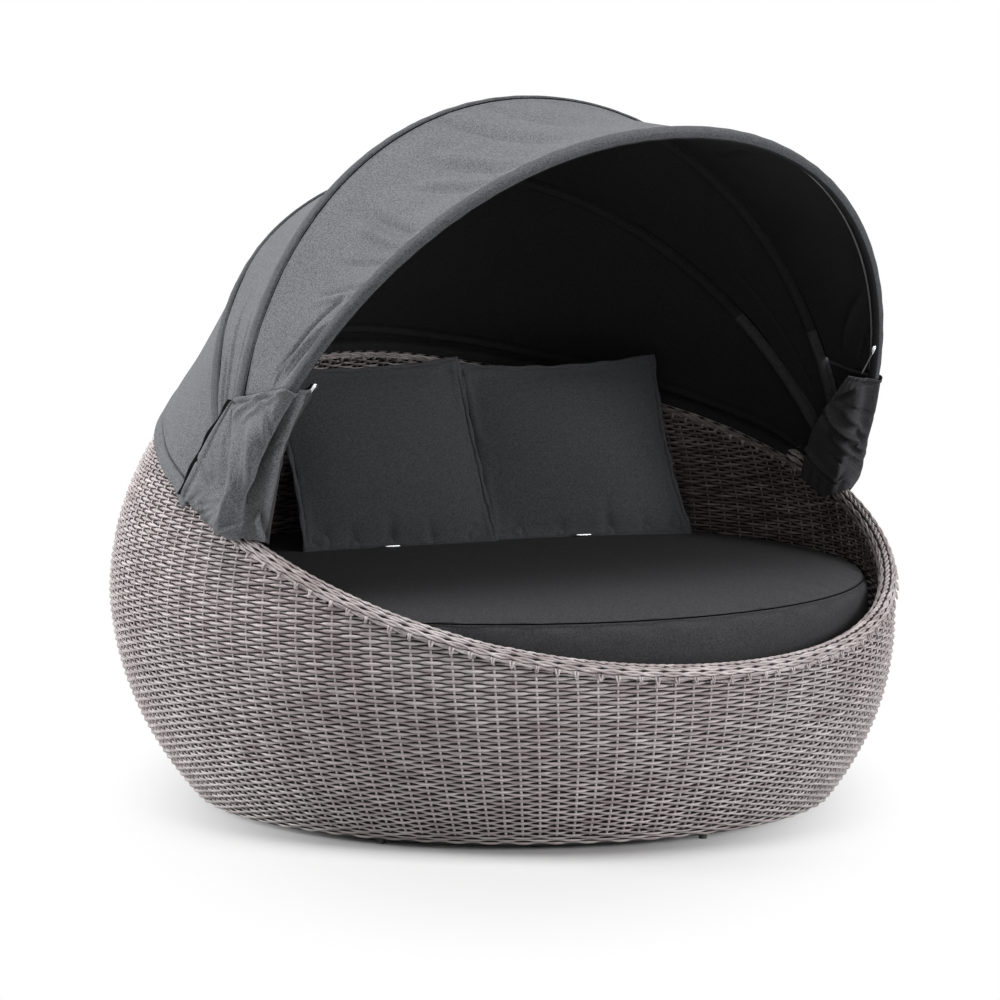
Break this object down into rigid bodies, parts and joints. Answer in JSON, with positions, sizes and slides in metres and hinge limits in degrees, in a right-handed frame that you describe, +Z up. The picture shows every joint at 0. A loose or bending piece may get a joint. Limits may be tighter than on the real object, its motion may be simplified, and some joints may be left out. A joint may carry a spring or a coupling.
{
  "type": "outdoor daybed with canopy",
  "caption": "Round woven bowl daybed with a boxed seat cushion, scatter pillows and a hooped fabric canopy that folds back.",
  "frame": {"origin": "on the floor, midway between the left and right sides and between the front and the back of the bounding box", "axes": "+Z up, -Y towards the open front, +X to the right of someone who faces the open front"},
  "size_m": [1.7466, 1.788, 1.5641],
  "materials": {
    "wicker": "round synthetic wicker strand, grey taupe, woven, satin",
    "frame_coating": "dark powder coat on aluminium tube",
    "bow_tube": "satin bent aluminium tube",
    "slat": "mill finish aluminium box section",
    "fasteners": "stainless steel",
    "glide": "black moulded nylon",
    "canopy_cloth": "charcoal woven polyester, plain weave, matt",
    "cushion_cloth": "dark charcoal woven polyester over foam",
    "pillow_cloth": "dark charcoal woven polyester over fibre filling",
    "zip_metal": "bright plated zip slider"
  },
  "bodies": {
    "base": {"outer_wicker_wall": "wicker", "inner_wicker_wall": "wicker", "rim_border": "wicker", "base_ring": "frame_coating", "seat_ring": "frame_coating", "rim_tube": "frame_coating", "frame_rib_01": "frame_coating", "frame_rib_02": "frame_coating", "frame_rib_03": "frame_coating", "frame_rib_04": "frame_coating", "frame_rib_05": "frame_coating", "frame_rib_06": "frame_coating", "frame_rib_07": "frame_coating", "frame_rib_08": "frame_coating", "seat_beam_left": "frame_coating", "seat_beam_centre": "frame_coating", "seat_beam_right": "frame_coating", "base_bar_front": "frame_coating", "base_bar_rear": "frame_coating", "seat_post_front_left": "frame_coating", "seat_post_front_right": "frame_coating", "seat_post_rear_left": "frame_coating", "seat_post_rear_right": "frame_coating", "seat_slat_01": "slat", "seat_slat_02": "slat", "seat_slat_03": "slat", "seat_slat_04": "slat", "seat_slat_05": "slat", "seat_slat_06": "slat", "seat_slat_07": "slat", "seat_slat_08": "slat", "seat_slat_09": "slat", "seat_slat_10": "slat", "glide_01": "glide", "glide_02": "glide", "glide_03": "glide", "glide_04": "glide", "glide_05": "glide", "glide_06": "glide", "pivot_bracket_left": "frame_coating", "pivot_bracket_right": "frame_coating", "pivot_bolt_left": "fasteners", "pivot_bolt_right": "fasteners", "pivot_washer_left": "fasteners", "pivot_washer_right": "fasteners", "pivot_nut_left": "fasteners", "pivot_nut_right": "fasteners", "seat_cushion": "cushion_cloth", "pillow_left": "pillow_cloth", "pillow_right": "pillow_cloth", "canopy_rear_panel": "canopy_cloth", "boot_left": "canopy_cloth", "boot_right": "canopy_cloth"},
    "rear_hoop": {"bow_rear": "bow_tube", "canopy_mid_panel": "canopy_cloth"},
    "mid_hoop": {"bow_mid": "bow_tube", "canopy_front_panel": "canopy_cloth"},
    "front_hoop": {"bow_front": "bow_tube", "zip_slider_left": "zip_metal", "zip_slider_right": "zip_metal"}
  },
  "joints": [
    {"name": "rear_bow_pivot", "type": "hinge", "parent": "base", "child": "rear_hoop", "pos_m": [0, -0.1826, 0.681], "axis": [-1, 0, 0], "range_deg": [0, 34], "deforming": ["canopy_rear_panel", "boot_left", "boot_right"]},
    {"name": "mid_bow_pivot", "type": "hinge", "parent": "rear_hoop", "child": "mid_hoop", "pos_m": [0, -0.1826, 0.681], "axis": [-1, 0, 0], "range_deg": [0, 22.3], "deforming": ["canopy_mid_panel"]},
    {"name": "front_bow_pivot", "type": "hinge", "parent": "mid_hoop", "child": "front_hoop", "pos_m": [0, -0.1826, 0.681], "axis": [-1, 0, 0], "range_deg": [0, 32.1], "deforming": ["canopy_front_panel"]}
  ],
  "couplings": [
    {"joint": "mid_bow_pivot", "follows": "rear_bow_pivot", "ratio": 0.653},
    {"joint": "front_bow_pivot", "follows": "rear_bow_pivot", "ratio": 0.941}
  ]
}
